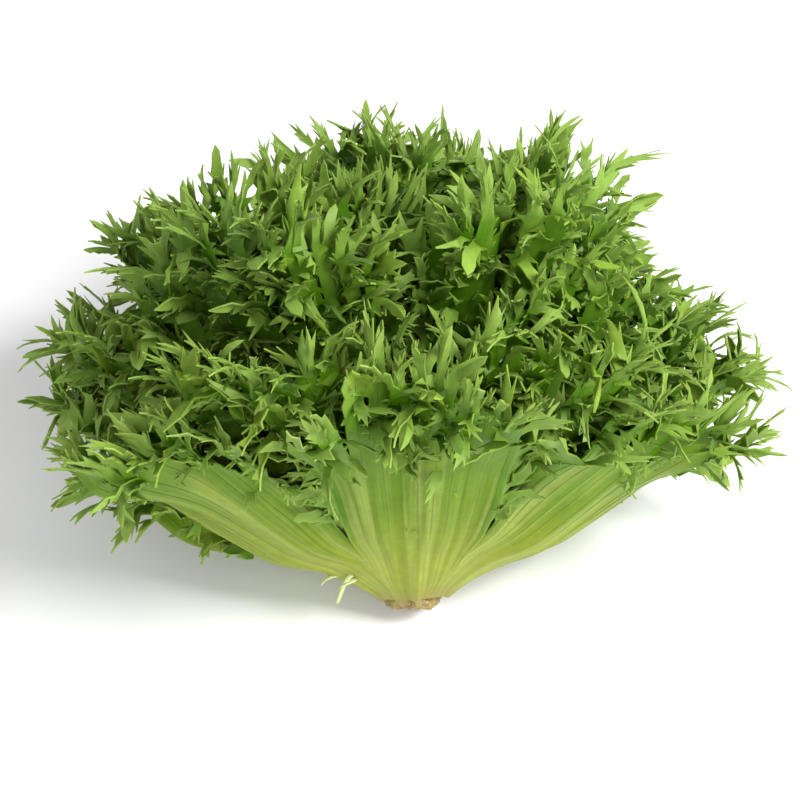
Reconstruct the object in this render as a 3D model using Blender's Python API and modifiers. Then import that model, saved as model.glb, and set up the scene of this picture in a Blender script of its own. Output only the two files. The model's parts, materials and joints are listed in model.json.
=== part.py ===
# A head of frilled lettuce, cut at the stem and lying on its side on a flat surface.
#
# A short stem carries eight rings of leaves, packed close where they leave it and spread apart at
# their tips. A leaf is laid out flat first, as an open sheet with lobes and teeth along its edge.
# The sheet is then bent into the head between the ring outside it and the ring inside it, and its
# ruffles stay in that room, so no leaf meets another. The leaves underneath are pressed flat.
#
# Places in the head are given as a reach from the point that all the leaves fan out from, a tilt
# away from the head's axis, and a turn round that axis, from its right side through its underside.

import math
import random
from dataclasses import dataclass

import bmesh
import bpy
from mathutils import Vector

# The head as it lies, in metres and radians
FAN_POINT = Vector((0.0, -0.088, 0.00062))
AXIS_RISE = math.radians(47)
OUTER_TILT = math.radians(47)
RING_STEP = math.radians(5.3)
RING_PACKING = 0.003
SIDE_SPREAD = 0.27
SPREAD_FROM = 0.010
SPREAD_TO = 0.060
SAG = 0.0075
SAG_FROM = 0.045
SAG_TO = 0.074
TIP_RISE = 0.012
RISE_FROM = 0.125
RISE_TO = 0.195

HEAD_AXIS = Vector((0, math.cos(AXIS_RISE), math.sin(AXIS_RISE)))
HEAD_RIGHT = Vector((1, 0, 0))
HEAD_UNDERSIDE = HEAD_AXIS.cross(HEAD_RIGHT)

# The rings of leaves, from the outside in
RING_NAMES = ("outer", "outer", "middle", "middle", "middle", "heart", "heart", "heart")
OUTER_TURNS = ((-90, -28, 90, -152), (-120, 20, -60, 160))
INNER_COUNTS = (4, 4, 3, 3, 3, 2)
GOLDEN_TURN = 137.5
SECTOR_SHARE = 0.93
RING_STARTS = (0.019, 0.023, 0.028, 0.033, 0.038, 0.043, 0.048, 0.052)
RING_TIPS = (0.178, 0.189, 0.200, 0.206, 0.209, 0.209, 0.206, 0.199)
RING_HALF_WIDTHS = (0.060, 0.058, 0.054, 0.050, 0.046, 0.042, 0.038, 0.034)
FRONT_LEAF_NARROWS_TO = 0.66
COVERED_LEAF_SHORTENS_TO = 0.84
LENGTH_VARIES = 0.035
UNDERSIDE_LENGTHENS_BY = 0.03
WIDTH_VARIES = 0.06

# One leaf, laid out flat
STALK_HALF_WIDTH = 0.0095
WIDENS_AS = 0.85
CROWN_DROP = 0.14
BLADE_COLUMNS = 6
BLADE_ROWS = 5
FIRST_LOBED_ROW = 2
SIDE_LOBE_LENGTH = 0.021
TIP_LOBE_LENGTH = 0.029
LOBE_LENGTH_VARIES = 0.22
SIDE_LOBE_FROM = 0.5
SIDE_LOBE_TURN = math.radians(64)
LOBE_TURN_VARIES = 0.1
LOBE_CURL = (0.003, 0.007)
TIP_LEANS = 0.25

# A lobe's half outline, as shares of its length and of half its width at the blade
WAIST = (0.34, 0.66)
SHOULDER = (0.58, 0.30)
TOOTH = (0.76, 0.98)

# Ruffles and thickness
RUFFLE = 0.0135
RUFFLE_WAVES = 7
RUFFLE_CENTRE = 0.35
RUFFLE_FULL_AT = 0.6
RUFFLE_MOST = 1.3
RUFFLE_GROWS_AS = 2.5
SMOOTH_BELOW = 0.2
RUFFLED_ABOVE = 0.5
ROOM_SOFTNESS = 4
FREE_SIDE_ROOM = 1.3
ROLL_OUT = 0.014
ROLLS_ABOVE = 0.6
LEAF_GAP = 0.0006
STALK_THICKNESS = 0.0024
STALK_THINS_BY = 0.00016
STALK_ENDS_AT = 0.6
EDGE_THICKNESS = 0.0009
PRESSED_STEP = 0.0026
RUFFLES_RETURN_BY = 0.010

# The stem
CUT_FACE_UP = 0.0085
CUT_FACE_RADIUS = 0.0112
COLLAR_RADIUS = 0.0126
COLLAR_EDGE = 0.001
CUT_FACE_BEVEL = 0.0012
STEM_GAP = 0.0012
STEM_SIDES = 24

COLOURS = {
    "stem": (0.62, 0.60, 0.36),
    "outer": (0.23, 0.36, 0.07),
    "middle": (0.17, 0.30, 0.05),
    "heart": (0.30, 0.44, 0.10),
}


@dataclass
class Leaf:
    """One leaf: its ring, its turn round the head, the half sector it may fill, and its flat size."""

    name: str
    ring: int
    turn: float
    sector: float
    start: float
    length: float
    half_width: float
    seed: int


def ramp(value, low, high):
    """0 below low, 1 above high, and a smooth climb between them."""
    share = min(1.0, max(0.0, (value - low) / (high - low)))
    return share * share * (3 - 2 * share)


def within(value, bound):
    """value, eased so that it never passes the bound."""
    return value / (1 + abs(value / bound) ** ROOM_SOFTNESS) ** (1 / ROOM_SOFTNESS)


def spread(turn, reach):
    """How much wider the head is at its sides, where its own weight has opened it."""
    return 1 + SIDE_SPREAD * math.cos(turn) ** 2 * ramp(reach, SPREAD_FROM, SPREAD_TO)


def ring_tilt(ring, turn, reach):
    step = math.hypot(RING_STEP, RING_PACKING / reach)
    return (OUTER_TILT - ring * step) * spread(turn, reach)


def half_room(turn, reach):
    """Half the distance between two rings."""
    return 0.5 * math.hypot(RING_STEP * reach, RING_PACKING) * spread(turn, reach)


def head_place(turn, reach, tilt):
    """A point of the head as it lies: the leaves sag between the stem and their rising tips."""
    across = HEAD_RIGHT * math.cos(turn) + HEAD_UNDERSIDE * math.sin(turn)
    place = FAN_POINT + reach * (HEAD_AXIS * math.cos(tilt) + across * math.sin(tilt))
    place.z -= SAG * ramp(reach, SAG_FROM, SAG_TO)
    place.z += TIP_RISE * ramp(reach, RISE_FROM, RISE_TO)
    return place


def bend_into_head(leaf, flat, lift):
    """Takes a point of the flat leaf, and how far a ruffle lifts it, to its place in the head.

    The crowns of the outermost leaves roll outwards. What would sink into the surface the head
    lies on is pressed flat, one leaf above the other.
    """
    reach = leaf.start + max(flat.y, 0.0)
    round_ring = reach * math.sin(ring_tilt(leaf.ring, leaf.turn, reach))
    turn = leaf.turn + within(flat.x / round_ring, leaf.sector)
    room = half_room(turn, reach)
    outward = room - LEAF_GAP
    if leaf.ring == 0:
        outward *= FREE_SIDE_ROOM
    inward = room - LEAF_GAP - EDGE_THICKNESS
    lift = within(lift, outward if lift > 0 else inward)
    if leaf.ring == 0:
        lift += ROLL_OUT * ramp(flat.y / leaf.length, ROLLS_ABOVE, 1.0) ** 2
    tilt = ring_tilt(leaf.ring, turn, reach)
    pressed_at = leaf.ring * PRESSED_STEP
    lift *= ramp(head_place(turn, reach, tilt).z - pressed_at, 0.0, RUFFLES_RETURN_BY)
    place = head_place(turn, reach, tilt + lift / reach)
    place.z = max(place.z, pressed_at)
    return place


def blade_point(leaf, across, along):
    """A point of the flat blade: across runs from -1 to 1, and along from the stem to the crown."""
    half_width = STALK_HALF_WIDTH + (leaf.half_width - STALK_HALF_WIDTH) * along**WIDENS_AS
    blade_length = leaf.length - TIP_LOBE_LENGTH
    return Vector((half_width * across, blade_length * along * (1 - CROWN_DROP * across**2 * along)))


def ruffle(leaf, flat, phase):
    """How far the ruffled blade stands off its own middle surface at a point of the flat leaf."""
    centre = Vector((0, RUFFLE_CENTRE * leaf.length))
    ray = flat - centre
    edge = max(ray.length / (RUFFLE_FULL_AT * leaf.length), abs(flat.x) / leaf.half_width)
    wave = math.sin(RUFFLE_WAVES * math.atan2(ray.x, ray.y) + phase)
    height = RUFFLE * min(edge, RUFFLE_MOST) ** RUFFLE_GROWS_AS
    return height * wave * ramp(flat.y / leaf.length, SMOOTH_BELOW, RUFFLED_ABOVE)


def add_blade(sheet, leaf, phase):
    """The blade as rows of vertices, from the stem to the crown."""
    rows = []
    for i in range(BLADE_ROWS + 1):
        row = []
        for j in range(BLADE_COLUMNS + 1):
            across = 2 * j / BLADE_COLUMNS - 1
            flat = blade_point(leaf, across, i / BLADE_ROWS)
            vertex = sheet.verts.new(bend_into_head(leaf, flat, ruffle(leaf, flat, phase)))
            row.append((vertex, flat, across))
        rows.append(row)
    for low, high in zip(rows, rows[1:]):
        for j in range(BLADE_COLUMNS):
            sheet.faces.new([low[j][0], low[j + 1][0], high[j + 1][0], high[j][0]])
    return rows


def add_lobe(sheet, leaf, left, right, phase, draw):
    """One lobe with a tooth on each side, grown from the edge between two vertices of the blade."""
    (left_vertex, left_flat, left_across), (right_vertex, right_flat, right_across) = left, right
    middle = (left_flat + right_flat) / 2
    half = (right_flat - left_flat) / 2
    across = (left_across + right_across) / 2
    heading = SIDE_LOBE_TURN * across * draw.uniform(1 - LOBE_TURN_VARIES, 1 + LOBE_TURN_VARIES)
    at_side = ramp(abs(across), SIDE_LOBE_FROM, 1.0)
    length = TIP_LOBE_LENGTH + (SIDE_LOBE_LENGTH - TIP_LOBE_LENGTH) * at_side
    length *= 1 - draw.uniform(0, LOBE_LENGTH_VARIES)
    outward = Vector((math.sin(heading), math.cos(heading))) * length
    curl = draw.choice((-1, 1)) * draw.uniform(*LOBE_CURL)

    def vertex(out, side):
        flat = middle + outward * out + half * side
        lift = ruffle(leaf, flat, phase) + curl * out**2
        return sheet.verts.new(bend_into_head(leaf, flat, lift))

    waists, shoulders, teeth = (
        [vertex(out, -side), vertex(out, side)] for out, side in (WAIST, SHOULDER, TOOTH)
    )
    tip = vertex(1.0, draw.uniform(-TIP_LEANS, TIP_LEANS))
    sheet.faces.new([left_vertex, right_vertex, waists[1], waists[0]])
    sheet.faces.new([waists[0], waists[1], shoulders[1], shoulders[0]])
    sheet.faces.new([waists[0], shoulders[0], teeth[0]])
    sheet.faces.new([waists[1], teeth[1], shoulders[1]])
    sheet.faces.new([shoulders[0], shoulders[1], tip])


def add_lobes(sheet, leaf, rows, phase, draw):
    """Lobes up the left side of the blade, over its crown and down its right side."""
    left_side = [row[0] for row in rows[FIRST_LOBED_ROW:]]
    right_side = [row[-1] for row in reversed(rows[FIRST_LOBED_ROW:])]
    for edge in (left_side, rows[-1], right_side):
        for left, right in zip(edge, edge[1:]):
            add_lobe(sheet, leaf, left, right, phase, draw)


def stalk_thickness(ring):
    """Outer leaves have the thickest stalks."""
    return STALK_THICKNESS - ring * STALK_THINS_BY


def thicken(leaf_object, leaf):
    """Gives the sheet its thickness towards the heart, thickest in the stalk and thin at the edge."""
    group = leaf_object.vertex_groups.new(name="stalk")
    for vertex in leaf_object.data.vertices:
        from_fan = (vertex.co - FAN_POINT).length
        share = 1 - ramp(from_fan, leaf.start, leaf.start + STALK_ENDS_AT * leaf.length)
        group.add([vertex.index], share, "REPLACE")
    solidify = leaf_object.modifiers.new("thickness", "SOLIDIFY")
    solidify.thickness = stalk_thickness(leaf.ring)
    solidify.offset = -1
    solidify.vertex_group = group.name
    solidify.thickness_vertex_group = EDGE_THICKNESS / solidify.thickness


def make_leaf(leaf, material, collection):
    """One leaf: a ruffled blade with lobes round it, as a closed solid."""
    draw = random.Random(leaf.seed)
    phase = draw.uniform(0, 2 * math.pi)
    sheet = bmesh.new()
    rows = add_blade(sheet, leaf, phase)
    add_lobes(sheet, leaf, rows, phase, draw)
    bmesh.ops.triangulate(sheet, faces=sheet.faces)
    mesh = bpy.data.meshes.new(leaf.name)
    sheet.to_mesh(mesh)
    sheet.free()
    mesh.materials.append(material)
    leaf_object = bpy.data.objects.new(leaf.name, mesh)
    collection.objects.link(leaf_object)
    thicken(leaf_object, leaf)
    mesh.shade_smooth()
    return leaf_object


def ring_turns(ring):
    """The turns of a ring's leaves, in radians."""
    if ring < len(OUTER_TURNS):
        degrees = OUTER_TURNS[ring]
    else:
        count = INNER_COUNTS[ring - len(OUTER_TURNS)]
        degrees = [ring * GOLDEN_TURN + i * 360 / count for i in range(count)]
    return [math.radians(turn) for turn in degrees]


def lay_out_leaves():
    """Every leaf of the head, ring by ring."""
    leaves = []
    numbers = {name: 0 for name in RING_NAMES}
    for ring, group in enumerate(RING_NAMES):
        turns = ring_turns(ring)
        for i, turn in enumerate(turns):
            gaps = [abs(turn - other) % (2 * math.pi) for j, other in enumerate(turns) if j != i]
            nearest = min(min(gap, 2 * math.pi - gap) for gap in gaps)
            numbers[group] += 1
            draw = random.Random(100 * ring + i)
            tip = RING_TIPS[ring] * draw.uniform(1 - LENGTH_VARIES, 1 + LENGTH_VARIES)
            tip *= 1 + UNDERSIDE_LENGTHENS_BY * math.sin(turn)
            half_width = RING_HALF_WIDTHS[ring] * draw.uniform(1 - WIDTH_VARIES, 1 + WIDTH_VARIES)
            if ring == 0 and i == 0:
                half_width *= FRONT_LEAF_NARROWS_TO
            if ring == len(OUTER_TURNS) and i == 0:
                tip *= COVERED_LEAF_SHORTENS_TO
            leaves.append(
                Leaf(
                    name=f"{group}_leaf_{numbers[group]}",
                    ring=ring,
                    turn=turn,
                    sector=SECTOR_SHARE * nearest / 2,
                    start=RING_STARTS[ring],
                    length=tip - RING_STARTS[ring],
                    half_width=half_width,
                    seed=100 * ring + i,
                )
            )
    return leaves


def stem_profile():
    """The stem's outline as (radius, distance up the axis), from the heart down to the cut face."""
    profile = []
    for ring in reversed(range(len(RING_STARTS))):
        reach = RING_STARTS[ring] - STEM_GAP
        tilt = ring_tilt(ring, math.pi / 2, reach) - (stalk_thickness(ring) + STEM_GAP) / reach
        profile.append((reach * math.sin(max(tilt, 0.0)), reach * math.cos(tilt)))
    profile[0] = (0.0, profile[0][1])
    collar_up = profile[-1][1] - COLLAR_EDGE
    profile.append((min(COLLAR_RADIUS, profile[-1][0] + COLLAR_EDGE), collar_up))
    profile.append((CUT_FACE_RADIUS, CUT_FACE_UP + CUT_FACE_BEVEL))
    profile.append((CUT_FACE_RADIUS - CUT_FACE_BEVEL, CUT_FACE_UP))
    profile.append((0.0, CUT_FACE_UP))
    return profile


def make_stem(material, collection):
    """The stem: a turned core whose cut face shows below the leaves."""
    mesh = bpy.data.meshes.new("stem")
    profile = stem_profile()
    edges = [(i, i + 1) for i in range(len(profile) - 1)]
    mesh.from_pydata([(radius, 0, up) for radius, up in profile], edges, [])
    mesh.materials.append(material)
    stem = bpy.data.objects.new("stem", mesh)
    collection.objects.link(stem)
    turned = stem.modifiers.new("turned", "SCREW")
    turned.steps = turned.render_steps = STEM_SIDES
    turned.use_merge_vertices = True
    turned.merge_threshold = 0.0001
    stem.location = FAN_POINT
    stem.rotation_mode = "QUATERNION"
    stem.rotation_quaternion = HEAD_AXIS.to_track_quat("Z", "Y")
    return stem


def make_material(name, colour, roughness):
    material = bpy.data.materials.new(name)
    material.use_nodes = True
    shader = material.node_tree.nodes["Principled BSDF"]
    shader.inputs["Base Color"].default_value = (*colour, 1)
    shader.inputs["Roughness"].default_value = roughness
    material.diffuse_color = (*colour, 1)
    return material


def main():
    for old in list(bpy.data.objects):
        bpy.data.objects.remove(old)
    collection = bpy.data.collections.new("lettuce_head")
    bpy.context.scene.collection.children.link(collection)
    materials = {name: make_material(name, colour, 0.45) for name, colour in COLOURS.items()}
    make_stem(materials["stem"], collection)
    for leaf in lay_out_leaves():
        make_leaf(leaf, materials[RING_NAMES[leaf.ring]], collection)


main()
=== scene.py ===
# A head of frilled lettuce, cut at the stem and lying on its side on a pale floor.
#
# Every leaf of the solid model is replaced with a finer one that keeps its place, its size and its
# big ruffles, and adds the small ruffles, the toothed lobes, the veins and the waxy skin.

import json
import math
import random

import bpy
import numpy as np
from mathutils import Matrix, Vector

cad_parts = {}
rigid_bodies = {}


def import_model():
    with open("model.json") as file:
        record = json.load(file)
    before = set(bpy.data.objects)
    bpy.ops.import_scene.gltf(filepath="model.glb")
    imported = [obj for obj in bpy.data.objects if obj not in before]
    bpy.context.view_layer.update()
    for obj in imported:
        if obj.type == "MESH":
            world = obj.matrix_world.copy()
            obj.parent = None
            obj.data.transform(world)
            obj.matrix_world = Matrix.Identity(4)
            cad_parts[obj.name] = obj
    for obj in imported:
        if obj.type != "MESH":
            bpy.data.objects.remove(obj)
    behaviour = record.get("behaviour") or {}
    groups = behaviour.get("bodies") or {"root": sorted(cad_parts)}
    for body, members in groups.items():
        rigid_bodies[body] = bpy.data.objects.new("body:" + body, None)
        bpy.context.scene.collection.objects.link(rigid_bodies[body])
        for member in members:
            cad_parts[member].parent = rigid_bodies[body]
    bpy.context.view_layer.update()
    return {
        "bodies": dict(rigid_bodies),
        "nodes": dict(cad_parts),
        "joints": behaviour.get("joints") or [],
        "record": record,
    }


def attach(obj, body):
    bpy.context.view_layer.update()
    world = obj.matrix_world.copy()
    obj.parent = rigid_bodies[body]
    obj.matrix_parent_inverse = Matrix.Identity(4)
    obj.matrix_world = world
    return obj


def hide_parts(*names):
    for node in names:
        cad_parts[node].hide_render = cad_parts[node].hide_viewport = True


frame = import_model()


# How the head lies. The leaves fan out from one point near the cut end of the stem, in rings one
# inside another. The head's own weight opens its sides, and presses its underside on the surface.
# A place is a reach from that point, a tilt off the head's axis and a turn round it.
FAN_POINT = np.array((0.0, -0.088, 0.00062))
AXIS_RISE = math.radians(47)
OUTER_TILT = math.radians(47)
RING_STEP = math.radians(5.3)
RING_PACKING = 0.003
SIDE_SPREAD = 0.27
SPREADS_BETWEEN = (0.010, 0.060)
SAG = 0.0075
SAGS_BETWEEN = (0.045, 0.074)
TIP_RISE = 0.012
RISES_BETWEEN = (0.125, 0.195)
PRESSED_STEP = 0.0026
LOWEST = 0.0002

HEAD_AXIS = np.array((0.0, math.cos(AXIS_RISE), math.sin(AXIS_RISE)))
HEAD_RIGHT = np.array((1.0, 0.0, 0.0))
HEAD_UNDERSIDE = np.cross(HEAD_AXIS, HEAD_RIGHT)


def ramp(value, low, high):
    """0 below low, 1 above high, and a smooth climb between them."""
    share = np.clip((value - low) / (high - low), 0.0, 1.0)
    return share * share * (3 - 2 * share)


def spread(turn, reach):
    return 1 + SIDE_SPREAD * np.cos(turn) ** 2 * ramp(reach, *SPREADS_BETWEEN)


def ring_tilt(ring, turn, reach):
    step = np.hypot(RING_STEP, RING_PACKING / reach)
    return (OUTER_TILT - ring * step) * spread(turn, reach)


def half_room(turn, reach):
    """Half the distance between two rings."""
    return 0.5 * np.hypot(RING_STEP * reach, RING_PACKING) * spread(turn, reach)


def head_place(turn, reach, tilt):
    turn, reach, tilt = (part[:, None] for part in np.broadcast_arrays(turn, reach, tilt))
    across = HEAD_RIGHT * np.cos(turn) + HEAD_UNDERSIDE * np.sin(turn)
    place = FAN_POINT + reach * (HEAD_AXIS * np.cos(tilt) + across * np.sin(tilt))
    place[:, 2:] -= SAG * ramp(reach, *SAGS_BETWEEN)
    place[:, 2:] += TIP_RISE * ramp(reach, *RISES_BETWEEN)
    return place


# Which leaves the head has: two rings of outer leaves, three of middle leaves and three of heart
# leaves. A leaf knows its ring, its turn round the head, the sector it may fill, its flat size and
# which of its margins runs low along the surface, bare of frills: 1 its right, -1 its left, 0 none.
RING_NAMES = ("outer", "outer", "middle", "middle", "middle", "heart", "heart", "heart")
OUTER_TURNS = ((-90, -28, 90, -152), (-120, 20, -60, 160))
INNER_COUNTS = (4, 4, 3, 3, 3, 2)
GOLDEN_TURN = 137.5
SEEDS_A_RING = 100
SECTOR_SHARE = 0.93
OUTSIDE_SECTOR_SHARE = 1.15
RING_STARTS = (0.019, 0.023, 0.028, 0.033, 0.038, 0.043, 0.048, 0.052)
RING_TIPS = (0.178, 0.189, 0.200, 0.206, 0.209, 0.209, 0.206, 0.199)
RING_HALF_WIDTHS = (0.060, 0.058, 0.054, 0.050, 0.046, 0.042, 0.038, 0.034)
LENGTH_VARIES = 0.035
UNDERSIDE_LENGTHENS_BY = 0.03
WIDTH_VARIES = 0.06
NARROWED = {"outer_leaf_1": 0.66}
SHORTENED = {"middle_leaf_1": 0.84, "middle_leaf_2": 0.95, "middle_leaf_8": 0.94, "outer_leaf_8": 0.965}
MARGINS_HUG = {"outer_leaf_1": 0.15, "outer_leaf_2": 1.10, "outer_leaf_3": 1.10, "outer_leaf_4": 1.10}
BARE_SIDES = {"outer_leaf_2": 1, "outer_leaf_4": -1}


def lay_out_leaves():
    """Every leaf of the head, ring by ring, as a dictionary of its measures."""
    leaves = []
    numbers = dict.fromkeys(RING_NAMES, 0)
    for ring, group in enumerate(RING_NAMES):
        if ring < len(OUTER_TURNS):
            degrees = OUTER_TURNS[ring]
        else:
            count = INNER_COUNTS[ring - len(OUTER_TURNS)]
            degrees = [ring * GOLDEN_TURN + i * 360 / count for i in range(count)]
        turns = [math.radians(turn) for turn in degrees]
        for i, turn in enumerate(turns):
            gaps = [abs(turn - other) % (2 * math.pi) for j, other in enumerate(turns) if j != i]
            nearest = min(min(gap, 2 * math.pi - gap) for gap in gaps)
            numbers[group] += 1
            name = f"{group}_leaf_{numbers[group]}"
            seed = SEEDS_A_RING * ring + i
            draw = random.Random(seed)
            tip = RING_TIPS[ring] * draw.uniform(1 - LENGTH_VARIES, 1 + LENGTH_VARIES)
            tip *= 1 + UNDERSIDE_LENGTHENS_BY * math.sin(turn)
            tip *= SHORTENED.get(name, 1.0)
            half_width = RING_HALF_WIDTHS[ring] * draw.uniform(1 - WIDTH_VARIES, 1 + WIDTH_VARIES)
            leaves.append({
                "name": name,
                "group": group,
                "ring": ring,
                "turn": turn,
                "sector": (SECTOR_SHARE if ring else OUTSIDE_SECTOR_SHARE) * nearest / 2,
                "hug": MARGINS_HUG.get(name, 0),
                "start": RING_STARTS[ring],
                "length": tip - RING_STARTS[ring],
                "half_width": half_width * NARROWED.get(name, 1.0),
                "bare_side": BARE_SIDES.get(name, 0),
                "seed": seed,
            })
    return leaves


# A blade is one soft sheet. It leaves the stem as a flat stalk, widens like a fan, and its margin
# grows faster than its middle, so that it stands in big ruffles with smaller ones on them. The left
# side leaf's lower margin flares outwards.
STALK_HALF_WIDTH = 0.0095
WIDENS_AS = (0.60, *(0.85,) * 7)
CROWN_DROP = 0.11
SHOULDER_DROP = 0.08
CROWN_LENGTH_LEFT_FOR_LOBES = 0.024
RUFFLE = 0.0135
RUFFLE_WAVES = 7
RUFFLE_CENTRE = 0.35
RUFFLE_FULL_AT = 0.6
RUFFLE_MOST = 1.3
RUFFLE_GROWS_AS = 2.5
SMOOTH_BELOW = (0.40, 0.30, *(0.20,) * 6)
RUFFLED_ABOVE = (0.85, 0.70, *(0.50,) * 6)
FRILL = 0.0050
FRILL_WAVES = 19
FRILL_WANDERS = 1.3
FRILL_WANDER_WAVES = 3
FRILL_GROWS_BETWEEN = (0.62, 1.15)
FREE_SIDE_ROOM = 1.3
ROLL_OUT = (0.004, 0.003, *(0,) * 6)
ROLLS_BETWEEN = (0.45, 0.85)
LEAF_GAP = 0.0006
RUFFLES_RETURN_BY = 0.010
STANDS_OUT = (0, 0.35, *(0,) * 6)
HUG_ENDS_BETWEEN = (0.55, 0.90)
FLARED_LEAF = "outer_leaf_4"
FLARE_WIDTH = 0.007
FLARE_CLEAR_OF_MARGIN = 0.020
FLARE_RADIUS = 0.0040
FLARE_TURNS = 1.3
FLARED_ALONG = (0.06, 0.50, 0.50, 0.86)


def between(value, low, full, still, high):
    """0 outside low and high, 1 from full to still."""
    return ramp(value, low, full) * (1 - ramp(value, still, high))


def within(value, bound):
    """value, eased so that it never passes the bound."""
    return value / (1 + np.abs(value / bound) ** 4) ** 0.25


def blade_half_width(leaf, along):
    return STALK_HALF_WIDTH + (leaf["half_width"] - STALK_HALF_WIDTH) * along ** WIDENS_AS[leaf["ring"]]


def blade_flat(leaf, across, along):
    """A place on the flat blade: across runs from -1 to 1, and along from the stem to the crown."""
    blade_length = leaf["length"] - CROWN_LENGTH_LEFT_FOR_LOBES
    drop = (CROWN_DROP * across**2 + SHOULDER_DROP * across**8) * along
    return blade_half_width(leaf, along) * across, blade_length * along * (1 - drop)


def ruffle(leaf, x, y):
    """The big and the small waves of the blade at a place on the flat leaf."""
    ray_x, ray_y = x, y - RUFFLE_CENTRE * leaf["length"]
    from_centre = np.hypot(ray_x, ray_y) / (RUFFLE_FULL_AT * leaf["length"])
    edge = np.maximum(from_centre, np.abs(x) / leaf["half_width"])
    angle = np.arctan2(ray_x, ray_y)
    ruffled = ramp(y / leaf["length"], SMOOTH_BELOW[leaf["ring"]], RUFFLED_ABOVE[leaf["ring"]])
    height = RUFFLE * np.minimum(edge, RUFFLE_MOST) ** RUFFLE_GROWS_AS
    big = height * np.sin(RUFFLE_WAVES * angle + leaf["phase"]) * ruffled
    wander = FRILL_WANDERS * np.sin(FRILL_WANDER_WAVES * angle + leaf["phase"])
    waves = np.sin(FRILL_WAVES * angle + wander + leaf["frill_phase"])
    small = FRILL * waves * ramp(edge, *FRILL_GROWS_BETWEEN) * ruffled
    return big, small


def flare(leaf, x, y):
    """Bends the lower margin outwards: gives x along the bend, and how far out of the leaf it stands."""
    share = y / leaf["length"]
    flat_to = blade_half_width(leaf, np.clip(share, 0.0, 1.0)) + FLARE_CLEAR_OF_MARGIN
    flat_to -= (FLARE_WIDTH + FLARE_CLEAR_OF_MARGIN) * between(share, *FLARED_ALONG)
    past = np.maximum(-x - flat_to, 0.0)
    angle = np.minimum(past / FLARE_RADIUS, FLARE_TURNS)
    beyond = past - angle * FLARE_RADIUS
    bent = -flat_to - FLARE_RADIUS * np.sin(angle) - beyond * np.cos(angle)
    return np.where(past > 0, bent, x), FLARE_RADIUS * (1 - np.cos(angle)) + beyond * np.sin(angle)


def on_leaf(leaf, x, y, relief=0.0, aside=0.0):
    """Takes places on the flat leaf to their places in the head.

    A relief on the outer face is kept everywhere. A finger's step aside is lost where the leaf is
    pressed on the surface.
    """
    x, y = np.asarray(x, float), np.asarray(y, float)
    flared = 0.0
    if leaf["name"] == FLARED_LEAF:
        x, flared = flare(leaf, x, y)
    reach = leaf["start"] + np.maximum(y, 0.0)
    round_ring = reach * np.sin(ring_tilt(leaf["ring"], leaf["turn"], reach))
    turn = leaf["turn"] + within(x / round_ring, leaf["sector"])
    room = half_room(turn, reach) - LEAF_GAP
    big, small = ruffle(leaf, x, y)
    outward = room * FREE_SIDE_ROOM if leaf["ring"] == 0 else room
    share = y / leaf["length"]
    roll = ROLL_OUT[leaf["ring"]] * ramp(share, *ROLLS_BETWEEN) ** 2
    hug = STANDS_OUT[leaf["ring"]] - leaf["hug"] * np.minimum(np.abs(x) / leaf["half_width"], 1.0)
    hug = hug * room * (1 - ramp(share, *HUG_ENDS_BETWEEN))
    lift = within(big, np.where(big > 0, outward, room)) + small + roll + aside + hug
    tilt = ring_tilt(leaf["ring"], turn, reach)
    pressed_at = leaf["ring"] * PRESSED_STEP + LOWEST
    lift = lift * ramp(head_place(turn, reach, tilt)[:, 2] - pressed_at, 0.0, RUFFLES_RETURN_BY)
    place = head_place(turn, reach, tilt + (lift + relief + flared) / reach)
    place[:, 2] = np.maximum(place[:, 2], pressed_at)
    return place


# The crown of a blade is cut into fingers. Each steps a little aside from its neighbours, so that
# they cross one another, and each bears a vein. The blade has a round midrib, pleats and wide soft
# bands on its outer face, and fronds stand on its upper part.
FEWEST_FINGERS = 6
FINGER_WIDTH = 0.0072
FINGER_COLUMNS = 5
FINGER_GAP = 0.30
FINGER_ASIDE = 0.006
FINGER_TWIST = 0.5
CUT_FROM = ((0.74, 0.92), *((0.60, 0.90),) * 7)
NEVER_CUT = 9.0
CUT_OPENS_OVER = 0.22
SIDE_LOBE_SPACING = 0.0070
SIDE_LOBE_ROWS = 3
LOBED_FROM = (0.50, 0.50, *(0.42,) * 6)
LOWER_ROWS = 14
SLIT_TOOTH_CHANCE = 0.35
SLIT_TOOTH_LENGTH = (0.0012, 0.0035)
SLIT_TOOTH_LEANS = (0.6, 1.3)
TOOTH_GROWTH = 1.1
MIDRIB_HEIGHT = 0.0012
MIDRIB_WIDTH = 0.16
MIDRIB_ENDS_BETWEEN = (0.15, 0.85)
PLEAT_HEIGHT = 0.00035
PLEATS = 23
PLEATS_BEGIN_BETWEEN = (0.05, 0.3)
BAND_HEIGHT = 0.0008
BANDS = 8
BANDS_SLANT = 3
BANDS_BEGIN_BETWEEN = (0.1, 0.4)
VEIN_RADIUS = 0.00020
VEINS_BEGIN_BETWEEN = (0.12, 0.6)
BRANCH_VEINS_FROM = 0.25
MARGIN_GREENS_BETWEEN = (0.15, 0.6)
MARGIN_FROM = 0.995
MARGIN_RIM = 1.3
BASE_ENDS_AT = 0.09
BARE_ACROSS = (-0.8, 0.2)
BARE_FROM_TIP = (0.004, 0.016)
BARE_SIDE_PALER = 0.22
BARE_SIDE_LOBED_FROM = 0.93
FROND_ZONE = ((0.002, 0.018), (0.006, 0.055), *((0.006, 0.075),) * 6)
FRILLED_LOWER = {
    "outer_leaf_1": 0.014,
    "outer_leaf_5": 0.020,
    "middle_leaf_7": 0.040,
    "middle_leaf_10": 0.045,
}
FRONDS_CLEAR_OF_SURFACE = (0.006, 0.014)
FLARE_FRILLED_ACROSS = (0.42, 0.58, 0.80, 0.90)
FLARE_FRILLED_ALONG = (0.26, 0.38, 0.84, 0.94)
FLARE_FRILLS = 0.75
FLARE_GREENER = 0.45


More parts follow.
